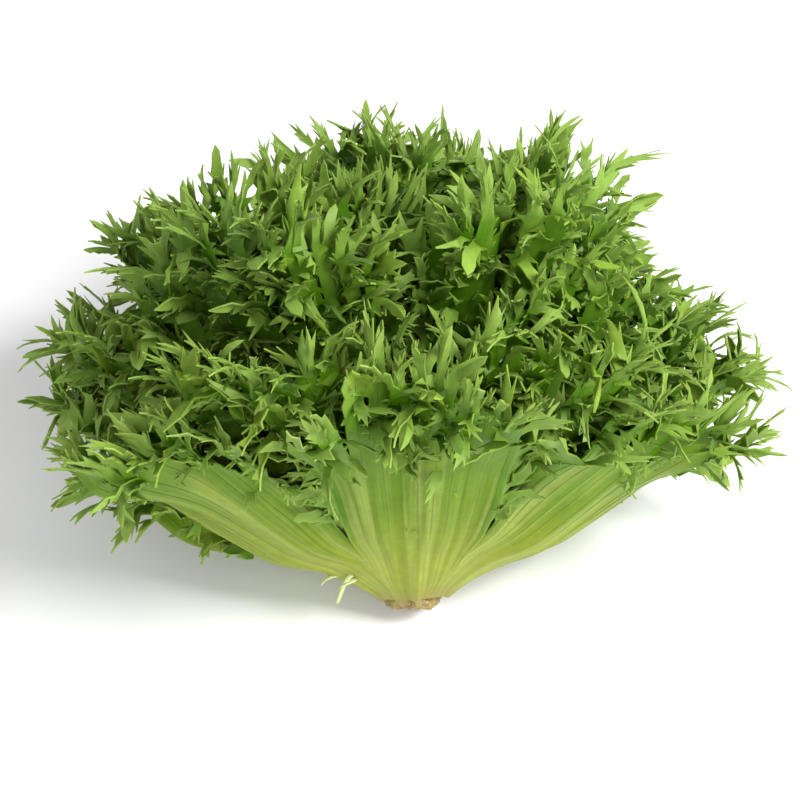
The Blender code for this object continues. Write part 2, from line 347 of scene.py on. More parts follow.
class Sheet:
    """A leaf's open sheet as it grows: its vertices, its faces and what its material reads."""

    def __init__(self):
        self.places, self.faces = [], []
        self.marks = {name: [] for name in ("across", "growth", "rim", "rib", "base", "vein", "fronds")}

    def add(self, places, **marks):
        """Adds vertices, and gives the number of the first."""
        first = len(self.places)
        self.places.extend(places)
        for name, values in self.marks.items():
            values.extend(np.broadcast_to(marks.get(name, 0.0), len(places)))
        return first

    def fill(self, rows):
        """Adds the faces between rows of vertices."""
        for low, high in zip(rows, rows[1:]):
            for j in range(len(low) - 1):
                self.faces.append((low[j], low[j + 1], high[j + 1], high[j]))


def cut_fingers(leaf, draw):
    """How far across, along and aside the blade is by finger, row and column, its rows and its open cuts."""
    fingers = max(FEWEST_FINGERS, round(2 * leaf["half_width"] / FINGER_WIDTH))
    lobed_from = LOBED_FROM[leaf["ring"]]
    lobed_length = (1 - lobed_from) * (leaf["length"] - CROWN_LENGTH_LEFT_FOR_LOBES)
    upper_rows = SIDE_LOBE_ROWS * round(lobed_length / SIDE_LOBE_SPACING)
    upper = np.linspace(lobed_from, 1, upper_rows + 1)[1:]
    row_along = np.concatenate((np.linspace(0, lobed_from, LOWER_ROWS + 1), upper))
    cuts = [draw.uniform(*CUT_FROM[leaf["ring"]]) for _ in range(fingers - 1)]
    cut = np.array([NEVER_CUT, *cuts, NEVER_CUT])[:, None]
    is_open = row_along > cut
    opened = ramp(row_along, cut, cut + CUT_OPENS_OVER)
    left, right = opened[:-1, :, None], opened[1:, :, None]
    column = np.linspace(-1, 1, FINGER_COLUMNS)
    centre = ((2 * np.arange(fingers) + 1) / fingers - 1)[:, None, None]
    narrowed = np.where(column < 0, left, right) * np.abs(column)
    across = centre + column / fingers * (1 - FINGER_GAP * narrowed)
    step_aside, twist = (
        np.array([draw.uniform(-most, most) for _ in range(fingers)])[:, None, None]
        for most in (FINGER_ASIDE, FINGER_TWIST)
    )
    freed = (left * (1 - column) + right * (1 + column)) / 2
    aside = freed * (step_aside + twist * column * FINGER_WIDTH / 2)
    along = np.broadcast_to(row_along[None, :, None], across.shape)
    return across, along, aside, row_along, is_open


def blade_relief(leaf, across, along):
    """How far the midrib, the pleats and the bands stand out of the blade's outer face."""
    midrib = MIDRIB_HEIGHT * np.exp(-((across / MIDRIB_WIDTH) ** 2)) * (1 - ramp(along, *MIDRIB_ENDS_BETWEEN))
    pleats = PLEAT_HEIGHT * np.sin(across * PLEATS + leaf["phase"]) * ramp(along, *PLEATS_BEGIN_BETWEEN)
    bands = np.sin(across * BANDS + 2 * leaf["phase"] + BANDS_SLANT * along)
    return midrib + pleats + BAND_HEIGHT * bands * ramp(along, *BANDS_BEGIN_BETWEEN)


def growth_and_fronds(leaf, across, along, from_tip, height):
    """How far on in growth the blade is at its places, for its colour, and how many fronds stand there."""
    bare = ramp(across * leaf["bare_side"], *BARE_ACROSS) if leaf["bare_side"] else 0.0
    at_margin = np.abs(across) ** 3 * ramp(along, *MARGIN_GREENS_BETWEEN) * (1 - bare)
    growth = np.maximum(along, at_margin) - BARE_SIDE_PALER * bare
    most_from_tip, none_from_tip = FROND_ZONE[leaf["ring"]]
    none_from_tip += FRILLED_LOWER.get(leaf["name"], 0.0)
    fronds = ramp(from_tip, none_from_tip, most_from_tip) * ramp(height, *FRONDS_CLEAR_OF_SURFACE)
    fronds = fronds * (1 - bare * ramp(from_tip, *BARE_FROM_TIP))
    if leaf["name"] == FLARED_LEAF:
        frilled = between(-across, *FLARE_FRILLED_ACROSS) * between(along, *FLARE_FRILLED_ALONG)
        fronds = np.maximum(fronds, FLARE_FRILLS * frilled)
        growth = growth + FLARE_GREENER * frilled
    return growth, fronds


def add_blade(sheet, leaf, draw):
    """The blade with its fingers. Gives its vertex numbers by finger, row and column, and its flat places."""
    across, along, aside, row_along, is_open = cut_fingers(leaf, draw)
    needed = np.ones(across.shape, bool)
    needed[:-1, :, -1] = is_open[1:-1]
    number = np.cumsum(needed).reshape(needed.shape) - 1
    number[:-1, :, -1] = np.where(is_open[1:-1], number[:-1, :, -1], number[1:, :, 0])
    finger_index, _, column_index = (index[needed] for index in np.indices(needed.shape))

    across, along, aside = across[needed], along[needed], aside[needed]
    x, y = blade_flat(leaf, across, along)
    places = on_leaf(leaf, x, y, blade_relief(leaf, across, along), aside)
    from_tip = leaf["length"] - CROWN_LENGTH_LEFT_FOR_LOBES - y
    growth, fronds = growth_and_fronds(leaf, across, along, from_tip, places[:, 2])
    has_vein = (finger_index % 2 == 0) | (along >= BRANCH_VEINS_FROM)
    has_vein = has_vein & (column_index == FINGER_COLUMNS // 2)
    vein = np.where(has_vein, VEIN_RADIUS * ramp(along, *VEINS_BEGIN_BETWEEN), 0.0)
    # The blade's margins are marked as rim, which the skin paints lighter: partly a paler edge, partly
    # painted highlight.
    rim = (np.abs(across) > MARGIN_FROM) * MARGIN_RIM
    base = 1 - ramp(along, 0.0, BASE_ENDS_AT)
    sheet.add(places, across=across, growth=growth, rim=rim, base=base, vein=vein, fronds=fronds)
    for finger in number:
        sheet.fill(finger)
    add_slit_teeth(sheet, number, is_open, draw)
    return number, np.stack((x, y), 1), across, row_along


def add_slit_teeth(sheet, number, is_open, draw):
    """Small teeth along the cuts between the fingers."""
    for k, finger in enumerate(number):
        for edge, inner, cut in ((0, 1, k), (-1, -2, k + 1)):
            for i in range(LOWER_ROWS, len(finger) - 1):
                if not is_open[cut, i] or draw.random() > SLIT_TOOTH_CHANCE:
                    continue
                low, high, inside = finger[i][edge], finger[i + 1][edge], finger[i][inner]
                base = sheet.places[low]
                outward = base - sheet.places[inside]
                outward /= np.linalg.norm(outward)
                upward = sheet.places[high] - base
                tip = base + outward * draw.uniform(*SLIT_TOOTH_LENGTH)
                tip = tip + upward * draw.uniform(*SLIT_TOOTH_LEANS)
                tooth = sheet.add([tip], growth=TOOTH_GROWTH, rim=1.0)
                sheet.faces.append((low, high, tooth) if edge == 0 else (low, tooth, high))


# The margin bears lobes like small antlers, flames and maple leaves, each with pointed teeth. A
# lobe bends and twists its own way, most of them outwards. Each shape is a lobe's half widths from
# its root to its tip, and the rows that bear teeth.
LOBE_ROWS = np.array((0.0, 0.16, 0.34, 0.52, 0.70, 0.87))
LOBE_SHAPES = (
    ((0.9, 0.66, 0.84, 1.00, 0.92, 0.62), (1,)),
    ((0.8, 0.56, 0.64, 0.92, 0.98, 0.66), (1, 2)),
    ((0.85, 0.58, 0.66, 0.84, 0.50, 0.26), (2, 3)),
    ((1.0, 0.86, 0.74, 0.62, 0.45, 0.24), (1, 3)),
    ((0.9, 0.62, 0.80, 0.66, 0.50, 0.26), (1, 2, 4)),
    ((0.8, 0.50, 0.42, 0.38, 0.30, 0.18), (1, 3)),
    ((1.0, 0.90, 0.92, 0.90, 0.60, 0.30), (1, 2, 3)),
)
CROWN_LOBE_LENGTH = (0.013, 0.026)
SIDE_LOBE_LENGTH = (0.010, 0.021)
LOBE_LEANS_UP = 0.6
LOBE_TURN_VARIES = 0.4
LOBE_BEND = (0.3, 1.9)
LOBE_BENDS = (0.38, 0.85, 0.80, 0.70, 0.60, 0.50, 0.40, 0.30)
LOBE_TWIST = 1.0
LOBE_CUP = 0.9
LOBE_SWAY = 0.35
LOBE_CRINKLE = 0.45
LOBE_CRINKLE_STEP = 2.4
LOBE_SETTLED_BY = 0.45
LOBE_GROWTH = 0.4
LOBE_RIM_GROWS = 10
LOBE_RIB_WIDTH = 0.3
LOBE_TIP_RIB = 0.5
WIDEST_LOBE_BASE = 0.0048
TOOTH_LENGTH = (0.3, 1.1)
LOWEST_TOOTH_SIZE = 1.1
TOOTH_SHORTENS_BY = 0.4
TOOTH_GROWS_BY = 0.3
TOOTH_FORWARD = (0.12, 0.32)
TOOTH_LIFT = 0.4
TOOTH_CHANCE = 0.9
WISP_CHANCE = 0.06
WISP_LENGTHENS_BY = 1.45
WISP_NARROWS_TO = 0.55
PROBE_STEP = 0.001


def bend_lobe(lobe, out, side, lift=0.0):
    """Takes places on a flat lobe, out from the blade and to its side, to their places in the head."""
    start, forward, aside, outward = lobe["frame"]
    turned = (lobe["bend"] * out / lobe["length"])[:, None]
    radius = lobe["length"] / lobe["bend"]
    centre = start + radius * (np.sin(turned) * forward + (1 - np.cos(turned)) * outward)
    centre = centre + (lobe["sway"] * out**2 / lobe["length"])[:, None] * aside
    upright = np.cos(turned) * outward - np.sin(turned) * forward
    twist = (lobe["twist"] * out / lobe["length"])[:, None]
    width = np.cos(twist) * aside + np.sin(twist) * upright
    height = np.cos(twist) * upright - np.sin(twist) * aside
    side, lift = np.asarray(side)[:, None], np.broadcast_to(lift, np.shape(side))[:, None]
    return centre + side * width + lift * height


def draw_lobe(draw, frame, length, half_base, bends=1.0):
    """A lobe's own measures."""
    half_widths, toothed_rows = draw.choice(LOBE_SHAPES)
    return {
        "frame": frame,
        "length": length,
        "half_base": half_base,
        "half_widths": np.array(half_widths),
        "toothed_rows": toothed_rows,
        "bend": draw.uniform(*LOBE_BEND) * draw.choice((1, 1, -1)) * bends,
        "twist": draw.uniform(-LOBE_TWIST, LOBE_TWIST),
        "cup": draw.uniform(-LOBE_CUP, LOBE_CUP),
        "sway": draw.uniform(-LOBE_SWAY, LOBE_SWAY),
        "crinkle": draw.uniform(0, 2 * math.pi),
    }


def add_lobe(sheet, lobe, base, across, draw):
    """Grows one lobe from a row of vertices."""
    length, rows, columns = lobe["length"], len(LOBE_ROWS), len(base)
    column = np.linspace(-1, 1, columns)
    out, side = np.meshgrid(LOBE_ROWS * length, column * lobe["half_base"], indexing="ij")
    side = side * lobe["half_widths"][:, None]
    wave = LOBE_CRINKLE * side * np.sin(LOBE_CRINKLE_STEP * np.arange(rows)[:, None] + lobe["crinkle"])
    places = bend_lobe(lobe, out.ravel(), side.ravel(), (lobe["cup"] * np.abs(side) + wave).ravel())
    places = places.reshape(rows, columns, 3)
    base_places = np.array([sheet.places[vertex] for vertex in base])
    settle = (1 - ramp(LOBE_ROWS, 0.0, LOBE_SETTLED_BY))[:, None, None]
    places = places + settle * (base_places - places[0])
    growth = np.repeat(1 + LOBE_GROWTH * LOBE_ROWS[1:], columns)
    # The lobe's rims and middle rib are marked for the skin to paint lighter: partly their own paler colour,
    # partly painted highlight.
    rim = np.clip(growth * LOBE_RIM_GROWS - LOBE_RIM_GROWS, 0, 1) * np.tile(np.abs(column) ** 3, rows - 1)
    rib = np.tile(np.exp(-((column / LOBE_RIB_WIDTH) ** 2)), rows - 1)
    first = sheet.add(places[1:].reshape(-1, 3), across=across, growth=growth, rim=rim, rib=rib)
    grid = [list(base)] + [[first + i * columns + j for j in range(columns)] for i in range(rows - 1)]
    sheet.fill(grid)
    tip_place = bend_lobe(lobe, np.array((length,)), np.zeros(1))
    tip = sheet.add(tip_place, across=across, growth=1 + LOBE_GROWTH, rim=1.0, rib=LOBE_TIP_RIB)
    for j in range(columns - 1):
        sheet.faces.append((grid[-1][j], grid[-1][j + 1], tip))
    for row in lobe["toothed_rows"]:
        for way in (-1, 1):
            if draw.random() < TOOTH_CHANCE:
                add_tooth(sheet, lobe, grid, row, way, across, draw)


def add_tooth(sheet, lobe, grid, row, way, across, draw):
    """One pointed tooth on a lobe's side, bent a little forward."""
    low_out, high_out = LOBE_ROWS[row], LOBE_ROWS[row + 1]
    edge = (lobe["half_widths"][row] + lobe["half_widths"][row + 1]) / 2
    side = edge + draw.uniform(*TOOTH_LENGTH) * (LOWEST_TOOTH_SIZE - TOOTH_SHORTENS_BY * low_out)
    out = (low_out + high_out) / 2 + draw.uniform(*TOOTH_FORWARD)
    lift = lobe["cup"] * side + draw.uniform(-TOOTH_LIFT, TOOTH_LIFT)
    half_base = lobe["half_base"]
    place = bend_lobe(lobe, np.array((out * lobe["length"],)), (way * side * half_base,), (lift * half_base,))
    tip = sheet.add(place, across=across, growth=TOOTH_GROWTH + TOOTH_GROWS_BY * low_out, rim=1.0)
    if way > 0:
        sheet.faces.append((grid[row][-1], tip, grid[row + 1][-1]))
    else:
        sheet.faces.append((grid[row + 1][0], tip, grid[row][0]))


def lobe_frame(leaf, middle, heading):
    """Where a lobe starts on the ruffled leaf, and its own directions: along, to its right, outwards."""
    aside = np.array((heading[1], -heading[0]))
    probes = np.array([middle + PROBE_STEP * step for step in (0 * heading, -heading, -aside, aside)])
    place, back, left, right = on_leaf(leaf, probes[:, 0], probes[:, 1])
    forward = place - back
    forward /= np.linalg.norm(forward)
    aside = right - left
    aside -= forward * (aside @ forward)
    aside /= np.linalg.norm(aside)
    return place, forward, aside, np.cross(aside, forward)


def add_margin_lobe(sheet, leaf, base, flat, across, at_side, draw):
    """One lobe of the blade's margin, which starts square to it and leans up."""
    run = flat[base[-1]] - flat[base[0]]
    heading = np.array((-run[1], run[0])) / np.hypot(*run) + np.array((0.0, LOBE_LEANS_UP * at_side))
    turned = math.atan2(heading[0], heading[1]) + draw.uniform(-LOBE_TURN_VARIES, LOBE_TURN_VARIES)
    heading = np.array((math.sin(turned), math.cos(turned)))
    frame = lobe_frame(leaf, (flat[base[0]] + flat[base[-1]]) / 2, heading)
    ends = sheet.places[base[-1]] - sheet.places[base[0]]
    half_base = min(WIDEST_LOBE_BASE, 0.5 * np.linalg.norm(ends))
    length = draw.uniform(*(SIDE_LOBE_LENGTH if at_side else CROWN_LOBE_LENGTH))
    if draw.random() < WISP_CHANCE:
        length, half_base = length * WISP_LENGTHENS_BY, half_base * WISP_NARROWS_TO
    lobe = draw_lobe(draw, frame, length, half_base, LOBE_BENDS[leaf["ring"]])
    add_lobe(sheet, lobe, base, across[base[len(base) // 2]], draw)


def grow_leaf(leaf):
    """The leaf's open sheet with all its lobes."""
    draw = random.Random(leaf["seed"])
    leaf["phase"] = draw.uniform(0, 2 * math.pi)
    leaf["frill_phase"] = draw.uniform(0, 2 * math.pi)
    sheet = Sheet()
    number, flat, across, row_along = add_blade(sheet, leaf, draw)
    for low in range(LOWER_ROWS, number.shape[1] - 1, SIDE_LOBE_ROWS):
        rows = slice(low, low + SIDE_LOBE_ROWS + 1)
        is_low = row_along[low] < BARE_SIDE_LOBED_FROM
        for side, margin in ((-1, number[0, rows, 0]), (1, number[-1, rows, -1][::-1])):
            if not (is_low and leaf["bare_side"] == side):
                add_margin_lobe(sheet, leaf, margin, flat, across, True, draw)
    half = FINGER_COLUMNS // 2
    for finger in number:
        for base in (finger[-1][: half + 1], finger[-1][half:]):
            add_margin_lobe(sheet, leaf, base, flat, across, False, draw)
    return sheet


# Solid leaves. The sheet gets its thickness towards the heart: thickest in the stalk, and thin
# enough at the frilled edge for light to come through.
STALK_THICKNESS = 0.0024
STALK_THINS_BY = 0.00016
STALK_ENDS_AT = 0.75
EDGE_THICKNESS = 0.00055
SHARP_EDGE = math.radians(55)


def put(name, data):
    """A new object in the scene."""
    made = bpy.data.objects.new(name, data)
    bpy.context.scene.collection.objects.link(made)
    return made


def plain_mesh(built, name, lowest=LOWEST / 2):
    """The object's evaluated shape as a plain mesh of its own, with nothing under the surface."""
    bpy.context.view_layer.update()
    shape = built.evaluated_get(bpy.context.evaluated_depsgraph_get())
    mesh = bpy.data.meshes.new_from_object(shape)
    mesh.name = name
    places = np.empty((len(mesh.vertices), 3), np.float32)
    mesh.vertices.foreach_get("co", places.ravel())
    places[:, 2] = np.maximum(places[:, 2], lowest)
    mesh.vertices.foreach_set("co", places.ravel())
    mesh.update()
    return mesh


def sheet_object(sheet, name, lowest=LOWEST, **constants):
    """An object of the sheet, with its marks as attributes of its vertices."""
    mesh = bpy.data.meshes.new(name)
    places = np.array(sheet.places)
    places[:, 2] = np.maximum(places[:, 2], lowest)
    mesh.from_pydata(places.tolist(), [], [tuple(map(int, face)) for face in sheet.faces])
    for mark, values in {**sheet.marks, **constants}.items():
        attribute = mesh.attributes.new(mark, "FLOAT", "POINT")
        attribute.data.foreach_set("value", np.broadcast_to(values, len(places)).astype(np.float32))
    return put(name, mesh)


def thickened(built, sheet, stalk_thickness, name, lowest=LOWEST / 2):
    """A copy of the sheet that is as thick as its stalk at the stem, and thin at its edge."""
    group = built.vertex_groups.new(name="stalk")
    share = 1 - ramp(np.array(sheet.marks["growth"]), 0.0, STALK_ENDS_AT)
    for vertex, weight in enumerate(share):
        group.add([vertex], float(weight), "REPLACE")
    solidify = built.modifiers.new("thickness", "SOLIDIFY")
    solidify.thickness = stalk_thickness
    solidify.offset = -1
    solidify.vertex_group = group.name
    solidify.thickness_vertex_group = EDGE_THICKNESS / stalk_thickness
    mesh = plain_mesh(built, name, lowest)
    built.modifiers.clear()
    built.vertex_groups.clear()
    return put(name, mesh)


# The skin of a leaf. Its stalk is pale, with irregular pale bands, its blade turns green towards the
# frilled margin, and its base browns a little. Fronds vary in hue. Tips, teeth, ribs and margins are
# lighter, partly by their own paler colour and partly by painted highlight and painted sheen, and the
# whole is faintly blistered, with a soft waxy shine.
PATCHES = {"Scale": 45.0, "Detail": 3.0}
MOTTLES = {"Scale": 260.0, "Detail": 3.0}
BLISTERS = {"Scale": 150.0, "Detail": 2.0}
BANDS_ACROSS = {"Scale": 8.0, "Detail": 3.0, "Roughness": 0.58}
PATCHES_SHIFT_GREEN_BY = 0.28
BLADE_GREENS_BETWEEN = (0.08, 0.60)
BANDS_STRETCHED_TO = 0.10
BANDS_SHOW_BETWEEN = (0.36, 0.70)
BANDS_SHARE = 0.50
BANDS_FADE_BY = 0.40
BAND_COLOUR = (0.38, 0.44, 0.115, 1)
BAND_BUMP = 0.20
# Tips, teeth and some whole fronds turn towards the edge colour: partly their own paler young growth, partly
# painted sheen.
YOUNG_AND_SHEEN_SHARE = 0.52
YOUNG_AND_SHEEN_VARIES = 0.34
YOUNG_AND_SHEEN_BETWEEN = (0.95, 1.40)
# Ribs and rims are lighter: partly their own paler colour, partly painted highlight along them.
RIB_AND_HIGHLIGHT_SHARE = 0.25
RIM_AND_HIGHLIGHT_SHARE = 0.34
FROND_HUES = {1.0: (0.105, 0.180, 0.003, 1), -1.0: (0.050, 0.125, 0.022, 1)}
FROND_HUE_SHARE = 0.55
FROND_HUE_BETWEEN = (0.1, 1.0)
FROND_VALUE_VARIES = 0.18
BROWN = (0.24, 0.185, 0.06, 1)
BROWN_SHARE = 0.70
BROWN_BETWEEN = (0.30, 0.55)
SKIN_VALUE = 0.80
SKIN_VALUE_VARIES = 0.40
SKIN_ROUGHNESS = 0.34
SKIN_ROUGHNESS_VARIES = 0.22
BLISTER_HEIGHT = 0.8
LEAF_BUMP = {"Strength": 0.5, "Distance": 0.0006}
LEAF_FINISH = {
    "Subsurface Weight": 0.25,
    "Subsurface Radius": (0.8, 1.0, 0.25),
    "Subsurface Scale": 0.002,
    "Specular IOR Level": 0.14,
}
# Edge is the pale colour of tips, teeth, ribs and rims, and it also carries their painted highlight and
# painted sheen.
LEAF_LOOKS = {
    "outer": {
        "Stalk": (0.21, 0.25, 0.020, 1),
        "Blade": (0.105, 0.190, 0.004, 1),
        "Frill": (0.058, 0.155, 0.001, 1),
        "Edge": (0.26, 0.36, 0.075, 1),
        "Frill From": 0.55,
        "Frill To": 0.92,
    },
    "middle": {
        "Stalk": (0.25, 0.30, 0.05, 1),
        "Blade": (0.13, 0.24, 0.018, 1),
        "Frill": (0.052, 0.140, 0.002, 1),
        "Edge": (0.24, 0.35, 0.070, 1),
        "Frill From": 0.38,
        "Frill To": 0.70,
    },
    "heart": {
        "Stalk": (0.30, 0.34, 0.07, 1),
        "Blade": (0.16, 0.28, 0.026, 1),
        "Frill": (0.057, 0.150, 0.003, 1),
        "Edge": (0.26, 0.37, 0.075, 1),
        "Frill From": 0.35,
        "Frill To": 0.65,
    },
}


def feed(tree, value, socket):
    """Links an output, or a node's first open output, to an input, or sets the input to a value."""
    if isinstance(value, bpy.types.Node):
        value = next(output for output in value.outputs if output.enabled)
    if isinstance(value, bpy.types.NodeSocket):
        tree.links.new(value, socket)
    else:
        socket.default_value = value


def add_node(tree, kind, inputs=None, **settings):
    """A node with its settings made, and its open inputs fed by name or number."""
    made = tree.nodes.new(kind)
    for name, value in settings.items():
        setattr(made, name, value)
    open_inputs = [socket for socket in made.inputs if socket.enabled]
    for key, value in (inputs or {}).items():
        socket = open_inputs[key] if isinstance(key, int) else next(s for s in open_inputs if s.name == key)
        feed(tree, value, socket)
    return made


def add_sockets(tree, way, **kinds):
    """Named sockets of a tree, each as its kind or its kind and value, with _ for each space in a name."""
    for name, kind in kinds.items():
        kind, *value = kind if isinstance(kind, tuple) else (kind,)
        name = name.replace("_", " ")
        socket = tree.interface.new_socket(name=name, in_out=way, socket_type="NodeSocket" + kind)
        if value:
            socket.default_value = value[0]


def calculate(tree, operation, *values):
    return add_node(tree, "ShaderNodeMath", dict(enumerate(values)), operation=operation)


def multiply(tree, first, second):
    return calculate(tree, "MULTIPLY", first, second)


def noise(tree, place, grain):
    return add_node(tree, "ShaderNodeTexNoise", {"Vector": place, **grain})


def fade_in(tree, value, low, high):
    inputs = {"Value": value, "From Min": low, "From Max": high}
    return add_node(tree, "ShaderNodeMapRange", inputs, interpolation_type="SMOOTHSTEP")


def blend_colours(tree, share, first, second, way="MIX"):
    inputs = {0: share, 1: first, 2: second}
    return add_node(tree, "ShaderNodeMix", inputs, data_type="RGBA", blend_type=way)


def build_leaf_skin():
    """The node group that every leaf material shares."""
    tree = bpy.data.node_groups.new("leaf skin", "ShaderNodeTree")
    add_sockets(tree, "INPUT", Stalk="Color", Blade="Color", Frill="Color", Edge="Color")
    add_sockets(tree, "INPUT", Frill_From="Float", Frill_To="Float")
    add_sockets(tree, "OUTPUT", Color="Color", Roughness="Float", Height="Float")
    given = tree.nodes.new("NodeGroupInput").outputs
    place = tree.nodes.new("ShaderNodeTexCoord").outputs["Object"]
    mark = {
        name: add_node(tree, "ShaderNodeAttribute", attribute_name=name).outputs["Fac"]
        for name in ("across", "growth", "rim", "rib", "base", "tone", "shade")
    }
    patches = noise(tree, place, PATCHES)
    mottle = noise(tree, place, MOTTLES)
    wander = multiply(tree, calculate(tree, "SUBTRACT", patches, 0.5), PATCHES_SHIFT_GREEN_BY)
    greenness = calculate(tree, "ADD", mark["growth"], wander)
    to_blade = fade_in(tree, greenness, *BLADE_GREENS_BETWEEN)
    to_frill = fade_in(tree, greenness, given["Frill From"], given["Frill To"])
    colour = blend_colours(tree, to_blade, given["Stalk"], given["Blade"])
    colour = blend_colours(tree, to_frill, colour, given["Frill"])

    stretched = multiply(tree, mark["growth"], BANDS_STRETCHED_TO)
    fanned = add_node(tree, "ShaderNodeCombineXYZ", {"X": mark["across"], "Y": stretched, "Z": mark["tone"]})
    bands = fade_in(tree, noise(tree, fanned, BANDS_ACROSS), *BANDS_SHOW_BETWEEN)
    share = calculate(tree, "SUBTRACT", BANDS_SHARE, multiply(tree, to_frill, BANDS_FADE_BY))
    colour = blend_colours(tree, multiply(tree, bands, share), colour, BAND_COLOUR)

    # Lobe tips and teeth turn towards the pale edge colour, and some fronds, picked by their random shade
    # value, take more of it. This is partly their paler young growth and partly painted sheen.
    young_and_sheen = calculate(tree, "MULTIPLY_ADD", mark["shade"], YOUNG_AND_SHEEN_VARIES, YOUNG_AND_SHEEN_SHARE)
    young_and_sheen = multiply(tree, young_and_sheen, fade_in(tree, mark["growth"], *YOUNG_AND_SHEEN_BETWEEN))
    for share in (young_and_sheen, multiply(tree, mark["rib"], RIB_AND_HIGHLIGHT_SHARE), multiply(tree, mark["rim"], RIM_AND_HIGHLIGHT_SHARE)):
        colour = blend_colours(tree, share, colour, given["Edge"])
    for way, hue in FROND_HUES.items():
        towards = fade_in(tree, multiply(tree, mark["shade"], way), *FROND_HUE_BETWEEN)
        colour = blend_colours(tree, multiply(tree, towards, FROND_HUE_SHARE), colour, hue)
    browned = multiply(tree, mark["base"], fade_in(tree, patches, *BROWN_BETWEEN))
    colour = blend_colours(tree, multiply(tree, browned, BROWN_SHARE), colour, BROWN)

    value = calculate(tree, "ADD", SKIN_VALUE, multiply(tree, mottle, SKIN_VALUE_VARIES))
    value = multiply(tree, value, mark["tone"])
    value = multiply(tree, value, calculate(tree, "MULTIPLY_ADD", mark["shade"], FROND_VALUE_VARIES, 1.0))
    grey = add_node(tree, "ShaderNodeCombineColor", {"Red": value, "Green": value, "Blue": value})
    colour = blend_colours(tree, 1.0, colour, grey, "MULTIPLY")
    rough = calculate(tree, "ADD", SKIN_ROUGHNESS, multiply(tree, mottle, SKIN_ROUGHNESS_VARIES))
    blistered = multiply(tree, noise(tree, place, BLISTERS), multiply(tree, to_frill, BLISTER_HEIGHT))
    height = calculate(tree, "ADD", blistered, multiply(tree, bands, BAND_BUMP))
    add_node(tree, "NodeGroupOutput", {"Color": colour, "Roughness": rough, "Height": height})
    return tree


def new_material(name):
    material = bpy.data.materials.new(name)
    material.use_nodes = True
    return material


def finished(material, inputs):
    """The material, with its shader's inputs fed."""
    shader = material.node_tree.nodes["Principled BSDF"]
    for name, value in inputs.items():
        feed(material.node_tree, value, shader.inputs[name])
    return material


def leaf_material(group, looks):
    material = new_material(group + " leaf")
    skin = add_node(material.node_tree, "ShaderNodeGroup", looks, node_tree=LEAF_SKIN).outputs
    bump = add_node(material.node_tree, "ShaderNodeBump", {"Height": skin["Height"], **LEAF_BUMP})
    inputs = {"Base Color": skin["Color"], "Roughness": skin["Roughness"], "Normal": bump}
    return finished(material, {**inputs, **LEAF_FINISH})


LEAF_SKIN = build_leaf_skin()
MATERIALS = {group: leaf_material(group, looks) for group, looks in LEAF_LOOKS.items()}


# The veins stand out of a leaf's outer face as fine round ribs. They follow the edges of its sheet
# that run from the stem into the lobes, and thin out towards their ends.
VEIN_SIDES = 4
THINNEST_VEIN = 1e-6


def sheet_mark(tree, name):
    return add_node(tree, "GeometryNodeInputNamedAttribute", {"Name": name}, data_type="FLOAT")


def finish_tree(tree, geometry, material):
    """Ends a tree of geometry nodes: what it made becomes plain faces of one material."""
    real = add_node(tree, "GeometryNodeRealizeInstances", {"Geometry": geometry})
    skinned = add_node(tree, "GeometryNodeSetMaterial", {"Geometry": real, "Material": material})
    add_node(tree, "NodeGroupOutput", {"Geometry": skinned})
    return tree


def build_vein_tree():
    """Geometry nodes that turn the marked edges of a sheet into tubes."""
    tree = bpy.data.node_groups.new("vein ribs", "GeometryNodeTree")
    add_sockets(tree, "INPUT", Geometry="Geometry", Sides=("Int", VEIN_SIDES), Material="Material")
    add_sockets(tree, "OUTPUT", Geometry="Geometry")
    given = tree.nodes.new("NodeGroupInput").outputs
    radius = sheet_mark(tree, "vein")
    ends = tree.nodes.new("GeometryNodeInputMeshEdgeVertices").outputs
    at_ends = [
        add_node(
            tree,
            "GeometryNodeFieldAtIndex",
            {"Index": ends[end], "Value": radius},
            data_type="FLOAT",
            domain="POINT",
        )
        for end in ("Vertex Index 1", "Vertex Index 2")
    ]
    marked = calculate(tree, "GREATER_THAN", calculate(tree, "MINIMUM", *at_ends), THINNEST_VEIN)
    lines = add_node(tree, "GeometryNodeMeshToCurve", {"Mesh": given["Geometry"], "Selection": marked})
    ring = add_node(tree, "GeometryNodeCurvePrimitiveCircle", {"Resolution": given["Sides"], "Radius": 1.0})
    inputs = {"Curve": lines, "Profile Curve": ring, "Scale": radius}
    return finish_tree(tree, add_node(tree, "GeometryNodeCurveToMesh", inputs), given["Material"])


def grown_mesh(built, tree, name, **inputs):
    """What a tree of geometry nodes makes of an object. Its inputs go by name, with _ for each space."""
    grown = built.modifiers.new(tree.name, "NODES")
    grown.node_group = tree
    for socket in tree.interface.items_tree:
        key = socket.name.replace(" ", "_")
        if socket.in_out == "INPUT" and key in inputs:
            grown[socket.identifier] = inputs[key]
    mesh = plain_mesh(built, name)
    built.modifiers.clear()
    return mesh


VEIN_TREE = build_vein_tree()


# Fronds: where the frilled margin has folded back over the blade, its lobes stand on the blade's
# own face, most of them outside. Small lobes of sixteen kinds are set on the upper blade for them,
# each turned, leant and sized its own way.
FROND_KINDS = 16
FROND_SEEDS = 900
FROND_LENGTH = (0.013, 0.024)
FROND_HALF_BASE = (0.0018, 0.0030)
FROND_BEND = 0.8
FROND_ROOT_DEPTH = 0.0006
FROND_ROOT_GROWTH = 0.95
FROND_SPACING = 0.0038
FRONDS_A_SQUARE_METRE = 60000.0
FROND_SIZES = (0.65, 1.3)
FROND_LEANS = ((0.10, -0.7, -0.8), (1.25, 0.7, 0.8))
FRONDS_INSIDE = 0.42
FRONDS_INSIDE_VARY = 0.18


